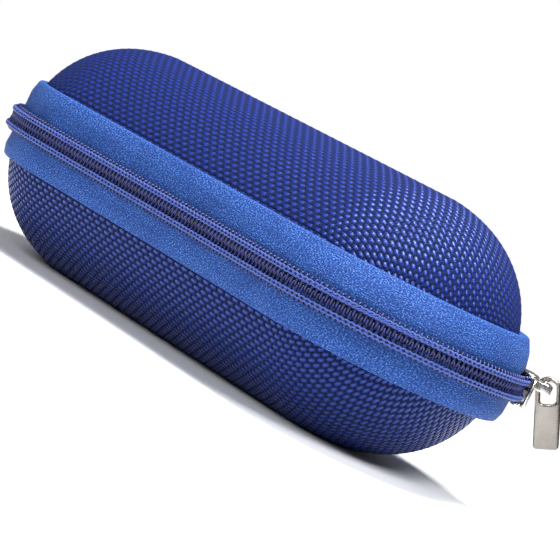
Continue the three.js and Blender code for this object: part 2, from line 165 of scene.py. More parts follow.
# ---- meshes ---------------------------------------------------------------------------
class Soup:
    """Gathers surfaces, in millimetres, into one mesh with texture coordinates."""

    def __init__(self):
        self.points = []
        self.faces = []
        self.uvs = []
        self.count = 0

    def add(self, points, faces, uvs):
        points = np.asarray(points, dtype=float)
        self.points.append(points)
        for face, uv in zip(faces, uvs):
            self.faces.append([self.count + k for k in face])
            self.uvs.extend(uv)
        self.count += len(points)

    def grid(self, points, u, v, wrap_u=False, wrap_v=False, caps=False):
        """points[i, j] with texture coordinates u[i], v[j]; a wrapped direction closes on itself."""
        n, m = points.shape[:2]
        rows = n if wrap_u else n - 1
        cols = m if wrap_v else m - 1
        faces = []
        uvs = []
        for i in range(rows):
            a = i * m
            b = ((i + 1) % n) * m
            for j in range(cols):
                k = (j + 1) % m
                faces.append((a + j, b + j, b + k, a + k))
                uvs.append(((u[i], v[j]), (u[i + 1], v[j]), (u[i + 1], v[j + 1]), (u[i], v[j + 1])))
        if caps:
            last = (n - 1) * m
            faces.append(tuple(range(m)))
            faces.append(tuple(last + k for k in reversed(range(m))))
            uvs.append([(u[0], v[k]) for k in range(m)])
            uvs.append([(u[n - 1], v[k]) for k in reversed(range(m))])
        self.add(points.reshape(-1, 3), faces, uvs)

    def build(self, name, material, body, stands_for, slot):
        uvs = np.array(self.uvs, dtype=np.float32)
        points = np.concatenate(self.points)
        return build_mesh(name, points, self.faces, uvs, material, body, stands_for)


def build_mesh(name, points, faces, uvs, material, body, stands_for):
    """A smooth piece of the case, out of points in millimetres and one texture coordinate a corner."""
    mesh = bpy.data.meshes.new(name)
    mesh.from_pydata((points * MM).tolist(), [], faces)
    mesh.uv_layers.new(name="cloth").data.foreach_set("uv", uvs.ravel())
    mesh.polygons.foreach_set("use_smooth", [True] * len(mesh.polygons))
    work = bmesh.new()
    work.from_mesh(mesh)
    bmesh.ops.recalc_face_normals(work, faces=work.faces)
    work.to_mesh(mesh)
    work.free()
    mesh.materials.append(material)
    mesh.update()
    piece = bpy.data.objects.new(name, mesh)
    bpy.context.scene.collection.objects.link(piece)
    if body:
        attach(piece, body)
    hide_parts(*stands_for)
    return piece


# ---- the plan outline -------------------------------------------------------------------
def smoothstep(value, low, high):
    t = np.clip((value - low) / (high - low), 0.0, 1.0)
    return t * t * (3.0 - 2.0 * t)


class Run:
    """Stations round the case: a spine point x and an outward angle, in degrees, at each."""

    def __init__(self, parts):
        xs = []
        angles = []
        for x, angle in parts:
            xs.append(np.asarray(x, dtype=float))
            angles.append(np.asarray(angle, dtype=float))
        self.x = np.concatenate(xs)
        self.angle = np.concatenate(angles)
        self.radians = np.radians(self.angle)
        px = self.x + PATH_RADIUS * np.cos(self.radians)
        py = PATH_RADIUS * np.sin(self.radians)
        steps = np.hypot(np.diff(px), np.diff(py))
        self.path = np.concatenate([[0.0], np.cumsum(steps)])
        self.loop = self.path[-1] + np.hypot(px[0] - px[-1], py[0] - py[-1])
        self.lift = lift_at(self.x, self.angle)

    def at(self, path):
        """The same run sampled at other distances along it."""
        other = Run.__new__(Run)
        other.x = np.interp(path, self.path, self.x)
        other.angle = np.interp(path, self.path, np.degrees(np.unwrap(self.radians)))
        other.radians = np.radians(other.angle)
        other.path = path
        other.lift = np.interp(path, self.path, self.lift)
        return other

    def outward(self):
        return np.stack([np.cos(self.radians), np.sin(self.radians), 0.0 * self.radians], axis=-1)

    def place(self, r, z):
        """Points at radius r, which the chain's lift isn't added to, and height z above the zip plane."""
        x = self.x + r * np.cos(self.radians)
        y = r * np.sin(self.radians)
        return np.stack([x, y, z + ZIP_PLANE + 0.0 * x], axis=-1)


def upward(count, sign=1.0):
    return np.tile((0.0, 0.0, sign), (count, 1))


def lift_at(x, angle):
    """How far the chain stands out at a station: it swells towards the parked slider."""
    arc = np.maximum(0.0, np.radians(angle + 90.0)) * SHELL_RADIUS
    full_at = SPINE + math.radians(LIFT_FULL + 90.0) * SHELL_RADIUS
    rise = smoothstep(x + arc, LIFT_START, full_at)
    fall = 1.0 - smoothstep(angle, LIFT_EASE, LIFT_END)
    on_right = (x >= LIFT_START) & (angle <= LIFT_END)
    return np.where(on_right, LIFT * rise * fall, 0.0)


def arc_part(x, start, stop):
    count = max(2, int(abs(stop - start) / STATION) + 1)
    angles = np.linspace(start, stop, count)
    return np.full(count, x), angles


def straight_part(start, stop, angle, step=STATION):
    count = int(abs(stop - start) / step)
    xs = np.linspace(start, stop, count + 1)[1:-1]
    return xs, np.full(len(xs), angle)


def front_run(left_angle, right_angle):
    """Round the left end, along the front and round the right end."""
    left = arc_part(-SPINE, 180.0 - left_angle - 360.0, -90.0)
    return Run([left, straight_part(-SPINE, SPINE, -90.0), arc_part(SPINE, -90.0, right_angle)])


def whole_loop():
    left = arc_part(-SPINE, -270.0, -90.0)
    front = straight_part(-SPINE, SPINE, -90.0)
    right = arc_part(SPINE, -90.0, 90.0)
    back = straight_part(SPINE, -SPINE, 90.0, 4.0)
    return Run([left, front, right, back])


def end_run(side):
    if side == "left":
        return Run([arc_part(-SPINE, -180.0 - BACK_ANGLE, -180.0 - LEFT_END_ANGLE - END_CLEARANCE)])
    return Run([arc_part(SPINE, RIGHT_END_ANGLE + END_CLEARANCE, BACK_ANGLE)])


# ---- materials ----------------------------------------------------------------------------
class Paint:
    """Builds one material out of nodes."""

    def __init__(self, name, **constants):
        self.material = bpy.data.materials.new(name)
        self.material.use_nodes = True
        self.nodes = self.material.node_tree.nodes
        self.links = self.material.node_tree.links
        self.shader = next(node for node in self.nodes if node.type == "BSDF_PRINCIPLED")
        for key, value in constants.items():
            self.shader.inputs[key.replace("_", " ")].default_value = value

    def feed(self, socket, value):
        if isinstance(value, bpy.types.NodeSocket):
            self.links.new(value, socket)
        else:
            socket.default_value = value

    def math(self, operation, a, b=0.0, c=0.0):
        node = self.nodes.new("ShaderNodeMath")
        node.operation = operation
        for socket, value in zip(node.inputs, (a, b, c)):
            self.feed(socket, value)
        return node.outputs[0]

    def mix(self, factor, a, b):
        node = self.nodes.new("ShaderNodeMix")
        node.data_type = "RGBA"
        self.feed(node.inputs["Factor"], factor)
        self.feed(node.inputs[6], a)
        self.feed(node.inputs[7], b)
        return node.outputs[2]

    def ramp(self, value, low, high, to_low=0.0, to_high=1.0):
        node = self.nodes.new("ShaderNodeMapRange")
        node.interpolation_type = "SMOOTHSTEP"
        self.feed(node.inputs[0], value)
        for socket, number in zip(node.inputs[1:5], (low, high, to_low, to_high)):
            socket.default_value = number
        return node.outputs[0]

    def cloth(self):
        """Texture coordinates in millimetres along the cloth."""
        node = self.nodes.new("ShaderNodeUVMap")
        node.uv_map = "cloth"
        return node.outputs[0]

    def place(self):
        return self.nodes.new("ShaderNodeTexCoord").outputs["Object"]

    def split(self, vector):
        node = self.nodes.new("ShaderNodeSeparateXYZ")
        self.links.new(vector, node.inputs[0])
        return node.outputs[0], node.outputs[1]

    def scaled(self, vector, scale):
        node = self.nodes.new("ShaderNodeMapping")
        node.inputs["Scale"].default_value = scale
        self.links.new(vector, node.inputs["Vector"])
        return node.outputs[0]

    def noise(self, vector, scale, detail=2.0):
        node = self.nodes.new("ShaderNodeTexNoise")
        self.links.new(vector, node.inputs["Vector"])
        node.inputs["Scale"].default_value = scale
        node.inputs["Detail"].default_value = detail
        return node.outputs[0]

    def bump(self, height, distance, under=None):
        node = self.nodes.new("ShaderNodeBump")
        node.inputs["Strength"].default_value = 1.0
        node.inputs["Distance"].default_value = distance
        self.links.new(height, node.inputs["Height"])
        if under is not None:
            self.links.new(under, node.inputs["Normal"])
        return node.outputs[0]

    def weave(self, u, v, crimp=0.5, roundness=0.6, lean=0.0):
        """A plain weave on unit cells: the height of the upper yarn, and 1 where it runs along u.

        lean sinks the yarns that run along v, so that the others float longer.
        """
        cell_u = self.math("FLOOR", u)
        cell_v = self.math("FLOOR", v)
        du = self.math("SUBTRACT", self.math("SUBTRACT", u, cell_u), 0.5)
        dv = self.math("SUBTRACT", self.math("SUBTRACT", v, cell_v), 0.5)
        parity = self.math("FLOORED_MODULO", self.math("ADD", cell_u, cell_v), 2.0)
        sign = self.math("MULTIPLY_ADD", parity, -2.0, 1.0)
        cos_u = self.math("COSINE", self.math("MULTIPLY", du, math.pi))
        cos_v = self.math("COSINE", self.math("MULTIPLY", dv, math.pi))
        round_u = self.math("POWER", self.math("MAXIMUM", cos_u, 0.0), roundness)
        round_v = self.math("POWER", self.math("MAXIMUM", cos_v, 0.0), roundness)
        along = self.math("MULTIPLY", self.math("MULTIPLY", cos_u, sign), crimp)
        across = self.math("MULTIPLY", self.math("MULTIPLY", cos_v, sign), -crimp)
        first = self.math("ADD", along, round_v)
        second = self.math("SUBTRACT", self.math("ADD", across, round_u), lean)
        height = self.math("MULTIPLY", self.math("MAXIMUM", first, second), 1.0 / (1.0 + crimp))
        return height, self.math("GREATER_THAN", first, second)

    def done(self, color, roughness, normal):
        self.feed(self.shader.inputs["Base Color"], color)
        self.feed(self.shader.inputs["Roughness"], roughness)
        self.feed(self.shader.inputs["Normal"], normal)
        return self.material


def shell_cloth(name, dark, mid, light):
    """Thick glossy yarns in a plain weave, painted nearly black between them as shade, painted lighter on
    their crests as a highlight, and painted darker on the yarns that run along v as shade.
    """
    paint = Paint(name, Specular_IOR_Level=0.6, IOR=1.5)
    paint.shader.inputs["Specular Tint"].default_value = (0.3, 0.47, 1.0, 1.0)
    cloth = paint.cloth()
    u, v = paint.split(cloth)
    cell_u = paint.math("MULTIPLY", u, 1.0 / WEAVE_X)
    cell_v = paint.math("MULTIPLY", v, 1.0 / WEAVE_V)
    height, along = paint.weave(cell_u, cell_v, WEAVE_CRIMP, WEAVE_ROUND, WEAVE_LEAN)
    wear = paint.noise(paint.scaled(cloth, (0.05, 0.05, 0.05)), 1.0, 3.0)
    fibre_u = paint.noise(paint.scaled(cloth, (0.8, 9.0, 1.0)), 1.0, 1.0)
    fibre_v = paint.noise(paint.scaled(cloth, (9.0, 0.8, 1.0)), 1.0, 1.0)
    fibre = paint.math("ADD", paint.math("MULTIPLY", fibre_u, along),
                       paint.math("MULTIPLY", fibre_v, paint.math("SUBTRACT", 1.0, along)))
    # Dark in the weave's hollows and light on the yarn crests: painted shade and painted highlight.
    body = paint.mix(paint.ramp(height, 0.45, 0.78), dark, mid)
    top = paint.mix(paint.ramp(height, 0.78, 1.0), body, light)
    dusted = paint.mix(paint.ramp(wear, 0.35, 0.7, 0.0, 0.25), top, mid)
    # The yarns that run along v are painted much darker than the glossy ones: painted shade for yarns that
    # catch less of the overhead light.
    shaded = paint.mix(paint.math("MULTIPLY", along, 0.85), paint.mix(0.86, dusted, dark), dusted)
    normal = paint.bump(height, 0.38 * MM)
    normal = paint.bump(fibre, 0.04 * MM, normal)
    glossy = paint.math("MULTIPLY", along, paint.ramp(height, 0.45, 0.9, 0.35, 0.74))
    roughness = paint.math("SUBTRACT", 1.0, glossy)
    return paint.done(shaded, roughness, normal)


def band_cloth(name, dark, mid, light):
    """Fine tape weave with brighter flecks, painted brightest on the yarn crests as a highlight, and
    painted darker in the weave's hollows as shade.
    """
    paint = Paint(name, Specular_IOR_Level=0.18, Sheen_Weight=0.06, Sheen_Roughness=0.4)
    paint.shader.inputs["Sheen Tint"].default_value = (0.3, 0.55, 1.0, 1.0)
    cloth = paint.cloth()
    u, v = paint.split(cloth)
    height, _ = paint.weave(paint.math("MULTIPLY", u, 1.0 / BAND_PITCH),
                            paint.math("MULTIPLY", v, 1.25 / BAND_PITCH), 0.5, 0.7)
    flecks = paint.noise(paint.scaled(cloth, (2.0, 3.4, 1.0)), 1.0, 1.0)
    wear = paint.noise(paint.scaled(cloth, (0.09, 0.2, 0.1)), 1.0, 2.0)
    # Darker in the weave's hollows: painted shade, on top of the flecks' random tone.
    raised = paint.ramp(height, 0.4, 0.9, 0.45, 1.0)
    fleck_tone_and_hollow_shade = paint.math("MULTIPLY", raised, paint.ramp(flecks, 0.3, 0.5))
    body = paint.mix(fleck_tone_and_hollow_shade, dark, mid)
    # The flecks are random tone, brightened only on the yarn crests: painted highlight.
    crest = paint.ramp(height, 0.3, 0.9, 0.5, 1.0)
    flecks_and_crest_highlight = paint.math("MULTIPLY", paint.ramp(flecks, 0.5, 0.68), crest)
    color = paint.mix(flecks_and_crest_highlight, body, light)
    color = paint.mix(paint.ramp(wear, 0.4, 0.7, 0.0, 0.3), color, dark)
    normal = paint.bump(height, 0.05 * MM)
    normal = paint.bump(flecks, 0.3 * MM, normal)
    return paint.done(color, paint.ramp(height, 0.4, 1.0, 0.85, 0.6), normal)


def twisted_thread(name, dark, light):
    """Two-ply sewing thread: slanting grooves round it."""
    paint = Paint(name, Specular_IOR_Level=0.5, Sheen_Weight=0.1)
    u, v = paint.split(paint.cloth())
    slant = paint.math("ADD", paint.math("MULTIPLY", u, 2.0 * math.pi / 0.45),
                       paint.math("MULTIPLY", v, 5.0))
    ply = paint.math("ABSOLUTE", paint.math("SINE", slant))
    # The grooves between the plies are painted darker: painted shade.
    color = paint.mix(paint.ramp(ply, 0.1, 0.7), dark, light)
    return paint.done(color, 0.5, paint.bump(ply, 0.05 * MM))


def coil_nylon(name, dark, light):
    """Dyed monofilament, a little uneven in its gloss."""
    paint = Paint(name, Specular_IOR_Level=0.45)
    noise = paint.noise(paint.place(), 900.0, 3.0)
    color = paint.mix(paint.ramp(noise, 0.3, 0.7), dark, light)
    return paint.done(color, paint.ramp(noise, 0.2, 0.8, 0.34, 0.5), paint.bump(noise, 0.02 * MM))


def soft_lining(name, dark, light, scale=1500.0, relief=0.08):
    """Brushed knit, board foam: fine random nap."""
    paint = Paint(name, Specular_IOR_Level=0.2, Sheen_Weight=0.25, Sheen_Roughness=0.6)
    place = paint.place()
    nap = paint.noise(place, scale, 3.0)
    broad = paint.noise(place, 60.0, 3.0)
    color = paint.mix(paint.ramp(nap, 0.3, 0.7), dark, light)
    color = paint.mix(paint.ramp(broad, 0.35, 0.75, 0.0, 0.4), color, dark)
    return paint.done(color, 0.9, paint.bump(nap, relief * MM))


def ribbon_cloth(name, dark, light):
    """Ribbed binding ribbon."""
    pitch = 0.6
    paint = Paint(name, Specular_IOR_Level=0.35, Sheen_Weight=0.15)
    u, v = paint.split(paint.cloth())
    height, _ = paint.weave(paint.math("MULTIPLY", u, 1.0 / pitch), paint.math("MULTIPLY", v, 2.0 / pitch))
    # Dark in the weave's hollows and light on its crests: painted shade and painted highlight.
    color = paint.mix(paint.ramp(height, 0.4, 0.95), dark, light)
    return paint.done(color, 0.7, paint.bump(height, 0.1 * MM))


def plated_metal(name, color, roughness, grain, relief):
    """Nickel plate over a casting; grain draws the fine marks out along z."""
    paint = Paint(name, Metallic=1.0)
    place = paint.place()
    fine = paint.noise(paint.scaled(place, (1.0, 1.0, 6.0 if grain else 1.0)), 1400.0, 4.0)
    broad = paint.noise(place, 160.0, 3.0)
    shade = tuple(0.86 * c for c in color[:3]) + (1.0,)
    tone = paint.mix(paint.ramp(broad, 0.35, 0.7), color, shade)
    rough = paint.ramp(fine, 0.3, 0.7, roughness * 0.85, roughness * 1.2)
    normal = paint.bump(broad, relief * MM)
    normal = paint.bump(fine, 0.3 * relief * MM, normal)
    return paint.done(tone, rough, normal)


# The shell cloth's dark colour is painted shade in the weave's hollows and its light colour a painted
# highlight on the yarn crests.
SHELL_CLOTH = shell_cloth("woven_shell", (0.0006, 0.0016, 0.02, 1), (0.004, 0.011, 0.125, 1),
                          (0.014, 0.034, 0.24, 1))
# The band's dark colour also stands for painted shade in the weave's hollows, and its light colour for the
# flecks' painted highlight on the crests.
BAND = band_cloth("zip_tape_cloth", (0.004, 0.02, 0.12, 1), (0.011, 0.054, 0.238, 1),
                  (0.08, 0.188, 0.505, 1))
THREAD_BLUE = twisted_thread("sewing_thread", (0.006, 0.018, 0.11, 1), (0.026, 0.07, 0.34, 1))
NYLON = coil_nylon("coil_nylon", (0.003, 0.005, 0.04, 1), (0.01, 0.018, 0.13, 1))
LINING_CLOTH = soft_lining("lining_knit", (0.006, 0.006, 0.009, 1), (0.022, 0.022, 0.03, 1))
FOAM_BOARD = soft_lining("foam_board", (0.012, 0.012, 0.016, 1), (0.035, 0.035, 0.04, 1), 700.0, 0.15)
BINDING_RIBBON = ribbon_cloth("binding_ribbon", (0.005, 0.005, 0.01, 1), (0.022, 0.022, 0.034, 1))
NICKEL = plated_metal("polished_nickel", (0.78, 0.76, 0.73, 1), 0.22, False, 0.02)
SATIN = plated_metal("satin_nickel", (0.22, 0.203, 0.186, 1), 0.28, True, 0.03)


# ---- shells -----------------------------------------------------------------------------
def shell_profile(height, flat, inset):
    """Arrays s, r, z of a shell's section from the middle of its flat down to its rim."""
    r0 = SHELL_RADIUS - inset
    h0 = height - inset
    flat = flat - inset / 2.0
    start = math.asin((RIM / h0) ** (BULGE / 2.0))
    end = math.acos((flat / r0) ** (BULGE / 2.0))
    shoulder = h0 * math.sin(end) ** (2.0 / BULGE)
    t = np.linspace(end, start, 500)
    r = r0 * np.cos(t) ** (2.0 / BULGE)
    z = h0 * (h0 / shoulder) * np.sin(t) ** (2.0 / BULGE)
    r = np.concatenate([np.linspace(0.0, flat, 40)[:-1], r])
    z = np.concatenate([np.full(39, h0), z])
    z[-1] = RIM
    s = np.concatenate([[0.0], np.cumsum(np.hypot(np.diff(r), np.diff(z)))])
    return s, r, z


def weave_relief(u, v):
    """The same plain weave as the cloth's material, 0 to 1."""
    cell_u = np.floor(u)
    cell_v = np.floor(v)
    cos_u = np.maximum(np.cos(np.pi * (u - cell_u - 0.5)), 0.0)
    cos_v = np.maximum(np.cos(np.pi * (v - cell_v - 0.5)), 0.0)
    sign = 1.0 - 2.0 * np.mod(cell_u + cell_v, 2.0)
    first = WEAVE_CRIMP * sign * cos_u + cos_v ** WEAVE_ROUND
    second = -WEAVE_CRIMP * sign * cos_v + cos_u ** WEAVE_ROUND - WEAVE_LEAN
    return np.maximum(first, second) / (1.0 + WEAVE_CRIMP)


def shell_surface(height, flat, inset, du, dv, relief):
    """One skin of a shell as a grid that follows the cloth's yarns, cut to the capsule's outline."""
    s_table, r_table, z_table = shell_profile(height, flat, inset)
    slope_r = np.gradient(r_table, s_table)
    slope_z = np.gradient(z_table, s_table)
    reach = s_table[-1]
    half_u = int((SPINE + reach) / du) + 1
    half_v = int(reach / dv) + 1
    u = (np.arange(-half_u, half_u + 1) + 0.5) * du
    v = (np.arange(-half_v, half_v + 1) + 0.5) * dv
    uu, vv = np.meshgrid(u, v, indexing="ij")
    spine = np.clip(uu, -SPINE, SPINE)
    out_u = uu - spine
    s = np.hypot(out_u, vv)
    inside = s <= reach
    angle = np.arctan2(vv, out_u)
    s = np.minimum(s, reach)
    uu = spine + s * np.cos(angle)
    vv = s * np.sin(angle)
    r = np.interp(s, s_table, r_table)
    z = np.interp(s, s_table, z_table)
    if relief:
        depth = relief * (weave_relief(uu / WEAVE_X, vv / WEAVE_V) - 1.0)
        tr = np.interp(s, s_table, slope_r)
        tz = np.interp(s, s_table, slope_z)
        r = r - tz * depth
        z = z + tr * depth
    points = np.stack([spine + r * np.cos(angle), r * np.sin(angle), z], axis=-1)
    keep = inside[:-1, :-1] | inside[1:, :-1] | inside[:-1, 1:] | inside[1:, 1:]
    n, m = uu.shape
    index = np.arange(n * m).reshape(n, m)
    quads = np.stack([index[:-1, :-1], index[1:, :-1], index[1:, 1:], index[:-1, 1:]], axis=-1)[keep]
    used, packed = np.unique(quads, return_inverse=True)
    return points.reshape(-1, 3)[used], packed.reshape(-1, 4), np.stack([uu, vv], -1).reshape(-1, 2)[used]


def add_shell_skin(name, half, inset, du, dv, relief, material, replaced):
    points, quads, uv = shell_surface(half["height"], half["flat"], inset, du, dv, relief)
    points[:, 2] = ZIP_PLANE + half["sign"] * points[:, 2]
    uvs = uv[quads.ravel()].astype(np.float32)
    build_mesh(name, points, quads.tolist(), uvs, material, half["body"], replaced)


# ---- the band and the chain -----------------------------------------------------------------
def shell_radius_at(z, height):
    return SHELL_RADIUS * (1.0 - (z / height) ** BULGE) ** (1.0 / BULGE)


def tape_section(half, lift, inner_edge):
    """[r, z] of the folded tape at a station, up its inside and down its outside."""
    edge_lift = lift * half["edge_lift"]
    band = half["band"]
    middle = (BEND + band) / 2.0
    heights = [BEND, middle, band]
    seats = [shell_radius_at(z, half["height"]) + GAP for z in heights]
    inside = [TAPE_IN + lift, seats[1] + lift / 2.0 - TAPE_HUG, seats[2] - FOOT_HUG]
    outside = [TAPE_OUT + lift, seats[1] + FOLD + (lift + edge_lift) / 2.0,
               seats[2] + FOLD + edge_lift]
    rows = []
    turn = FOLD / 2.0
    zs = [inner_edge] + [inner_edge + (BEND - inner_edge) * f for f in (0.35, 0.7, 1.0)]
    zs += [BEND + (band - turn - BEND) * f for f in np.linspace(0.12, 1.0, 8)]
    for z in zs:
        rows.append((np.interp(z, heights, inside), z))
    last_in = np.interp(band - turn, heights, inside)
    last_out = np.interp(band - turn, heights, outside)
    centre = (last_in + last_out) / 2.0
    for f in (30.0, 60.0, 90.0, 120.0, 150.0):
        a = math.radians(180.0 - f)
        rows.append((centre + (last_out - last_in) / 2.0 * math.cos(a),
                     band - turn + turn * math.sin(a)))
    for z in reversed(zs):
        rows.append((np.interp(z, heights, outside), z))
    return np.array(rows)


def chain_range(angle, x, left_angle, right_angle):
    """True where the tape reaches in to the chain."""
    on_left = x <= -SPINE
    on_right = x >= SPINE
    front = ~(on_left | on_right) & (angle < 0)
    left = on_left & (angle >= -180.0 - left_angle)
    right = on_right & (angle <= right_angle)
    return front | left | right


def add_tape(half):
    run = whole_loop()
    reach = chain_range(run.angle, run.x, half["left"], half["right"])
    rings = []
    for i in range(len(run.x)):
        inner = TAPE_EDGE if reach[i] else BEND - 0.05
        section = tape_section(half, run.lift[i], inner)
        r, z = section[:, 0], section[:, 1] * half["sign"]
        x = run.x[i] + r * math.cos(run.radians[i])
        y = r * math.sin(run.radians[i])
        rings.append(np.stack([x, y, z + ZIP_PLANE], axis=-1))
    points = np.array(rings)
    typical = tape_section(half, 0.0, TAPE_EDGE)
    steps = np.hypot(*np.diff(typical, axis=0).T)
    v = np.concatenate([[0.0], np.cumsum(steps), [steps.sum() + 0.8]])
    u = np.append(run.path, run.loop)
    soup = Soup()
    soup.grid(points, u, v, wrap_u=True, wrap_v=True)
    soup.build(f"{half['name']}_tape_cloth", BAND, half["body"],
               [f"{half['name']}_zipper_tape"], "zip_tape")


def add_tube(soup, centres, reference, radius, sides):
    """A round tube along centre points, with a reference direction across it at each."""
    tangent = np.gradient(centres, axis=0)
    tangent /= np.linalg.norm(tangent, axis=1, keepdims=True)
    across = reference - tangent * np.sum(reference * tangent, axis=1, keepdims=True)
    across /= np.linalg.norm(across, axis=1, keepdims=True)
    side = np.cross(tangent, across)
    turn = 2.0 * np.pi * np.arange(sides) / sides
    ring = (across[:, None, :] * np.cos(turn)[None, :, None]
            + side[:, None, :] * np.sin(turn)[None, :, None])
    points = centres[:, None, :] + ring * np.reshape(radius, (-1, 1, 1))
    steps = np.linalg.norm(np.diff(centres, axis=0), axis=1)
    u = np.concatenate([[0.0], np.cumsum(steps), [steps.sum()]])
    v = np.linspace(0.0, 1.2, sides + 1)
    soup.grid(points, u, v, wrap_v=True, caps=True)


def add_coil(name, run, sign, body, node):
    """A flattened helix of wire whose heads reach past the zip plane."""
    turns = run.path[-1] / TEETH_PITCH
    first = 2.0 * np.pi * (0.4 * TEETH_PITCH - phase_origin(run)) / TEETH_PITCH
    phase = np.linspace(first, first + 2.0 * np.pi * (turns - 1.0), int(turns * 16))
    half_turn = 0.0 if sign > 0 else 0.5
    teeth = (phase - LEG_SQUARE * np.sin(phase)) / (2.0 * np.pi) + half_turn
    path = phase_origin(run) + TEETH_PITCH * teeth
    path = np.clip(path, 0.0, run.path[-1])
    fine = run.at(path)
    middle_z = (COIL_TOP - HEAD_REACH) / 2.0
    half_z = (COIL_TOP + HEAD_REACH) / 2.0
    r = COIL_MIDDLE_R + COIL_HALF * np.cos(phase) + fine.lift
    z = sign * (middle_z + half_z * np.sin(phase))
    reference = (fine.outward() * np.cos(phase)[:, None] * 3.0
                 + upward(len(path), sign) * np.sin(phase)[:, None])
    soup = Soup()
    add_tube(soup, fine.place(r, z), reference, np.full(len(path), WIRE), 6)
    soup.build(name, NYLON, body, [node], "coil")


def phase_origin(run):
    """Distance along a run to the middle of the front, or to where that run would put it."""
    reach = SPINE + math.radians(abs(run.angle[0] + 90.0)) * PATH_RADIUS
    return -reach if run.angle[0] > -90.0 else reach


def add_cord(name, run, sign, body, node):
    """The filler cord inside a coil."""
    path = np.linspace(0.0, run.path[-1], int(run.path[-1] / CORD_STEP))
    fine = run.at(path)
    centres = fine.place(COIL_MIDDLE_R + fine.lift, sign * CORD_HEIGHT + 0.0 * path)
    soup = Soup()
    add_tube(soup, centres, upward(len(path)), np.full(len(path), CORD), 8)
    soup.build(name, THREAD_BLUE, body, [node], "thread")


def add_stitching(name, run, sign, body, node):
    """Chain stitch: two strands that part and meet once to each tooth."""
    path = np.linspace(0.0, run.path[-1], int(run.path[-1] / TEETH_PITCH * 9))
    fine = run.at(path)
    swell = 0.5 - 0.5 * np.cos(2.0 * np.pi * (path - phase_origin(run)) / TEETH_PITCH)
    outward = fine.outward()
    soup = Soup()
    for strand in (-1.0, 1.0):
        z = sign * (STITCH_HEIGHT + strand * (STITCH_PART + STITCH_PART * swell))
        centres = fine.place(STITCH_R + 0.1 - 0.14 * swell + fine.lift, z)
        add_tube(soup, centres, outward, THREAD * (1.3 - 0.25 * swell), 6)
    soup.build(name, THREAD_BLUE, body, [node], "thread")


# ---- the inside ---------------------------------------------------------------------------
def rounded_ring(points, radius, steps=3):
    """A closed outline with each corner rounded."""
    points = np.asarray(points, dtype=float)
    rows = []
    count = len(points)
    for k in range(count):
        before = points[k - 1] - points[k]
        after = points[(k + 1) % count] - points[k]
        cut = min(radius, 0.45 * np.linalg.norm(before), 0.45 * np.linalg.norm(after))
        a = points[k] + before / np.linalg.norm(before) * cut
        b = points[k] + after / np.linalg.norm(after) * cut
        for f in np.linspace(0.0, 1.0, steps + 1):
            rows.append((1 - f) ** 2 * a + 2 * f * (1 - f) * points[k] + f * f * b)
    return np.array(rows)


def sweep_section(soup, run, section, sign, closed):
    """A section, given as [r, z], carried along a run."""
    r = section[:, 0]
    z = section[:, 1] * sign
    x = run.x[:, None] + r[None, :] * np.cos(run.radians)[:, None]
    y = r[None, :] * np.sin(run.radians)[:, None]
    points = np.stack([x, y, z[None, :] + ZIP_PLANE + 0.0 * x], axis=-1)
    steps = np.linalg.norm(np.diff(np.vstack([section, section[:1]]), axis=0), axis=1)
    v = np.concatenate([[0.0], np.cumsum(steps)])
    u = np.append(run.path, run.loop)
    soup.grid(points, u, v, wrap_u=closed, wrap_v=True, caps=not closed)


def add_binding(half):
    """Ribbon folded over a shell's raw edge and up its lining."""
    top = RIM - GAP
    edge = SHELL_RADIUS - 0.2
    lip = RIM + BINDING_LIP
    legs = [(BINDING_IN, top - BINDING), (edge, top - BINDING), (edge, top),
            (BINDING_IN + BINDING, top), (BINDING_IN + BINDING, lip), (BINDING_IN, lip)]
    soup = Soup()
    sweep_section(soup, whole_loop(), rounded_ring(legs, 0.35), half["sign"], True)
    soup.build(f"{half['name']}_binding_ribbon", BINDING_RIBBON, half["body"],
               [f"{half['name']}_rim_binding"], "binding")


def add_seam(half):
    """Separate stitches on the binding, each a short thread that dips in at its ends."""
    run = whole_loop()
    dip = np.array(SEAM_DIP)
    count = len(dip)
    soup = Soup()
    for k in range(int(run.loop / SEAM_PITCH)):
        start = k * SEAM_PITCH
        if start + SEAM_PITCH > run.path[-1]:
            continue
        fine = run.at(start + np.linspace(0.0, SEAM_SHARE, count) * SEAM_PITCH)
        centres = fine.place(BINDING_IN - 0.12 + dip, np.full(count, half["sign"] * (RIM + 0.8)))
        add_tube(soup, centres, upward(count), np.full(count, THREAD), 6)
    soup.build(f"{half['name']}_seam_stitches", THREAD_BLUE, half["body"],
               [f"{half['name']}_seam_thread"], "thread")


HALVES = [
    {"name": "lower", "body": "lower_half", "sign": -1.0, "height": LOWER_DEPTH, "flat": REST_FLAT,
     "band": LOWER_BAND, "edge_lift": LOWER_EDGE_LIFT, "left": BACK_ANGLE, "right": BACK_ANGLE},
    {"name": "upper", "body": "lid", "sign": 1.0, "height": UPPER_HEIGHT, "flat": CROWN_FLAT,
     "band": UPPER_BAND, "edge_lift": UPPER_EDGE_LIFT, "left": LEFT_END_ANGLE, "right": RIGHT_END_ANGLE},
]

for half in HALVES:
    prefix = half["name"]
    add_shell_skin(f"{prefix}_shell_cover", half, 0.0, WEAVE_X / WEAVE_GRID, WEAVE_V / WEAVE_GRID,
                   WEAVE_DEPTH, SHELL_CLOTH, [f"{prefix}_shell_fabric"])
    add_shell_skin(f"{prefix}_lining_knit", half, WALL, 1.5, 1.5, 0.0,
                   LINING_CLOTH, [f"{prefix}_shell_lining"])
    add_tape(half)
    chain = front_run(half["left"], half["right"])
    add_coil(f"{prefix}_coil_wire", chain, half["sign"], half["body"], f"{prefix}_zipper_coil")
    add_cord(f"{prefix}_filler_cord", chain, half["sign"], half["body"], f"{prefix}_coil_cord")
    add_stitching(f"{prefix}_chain_stitch", chain, half["sign"], half["body"], f"{prefix}_coil_stitching")
    add_binding(half)
    add_seam(half)

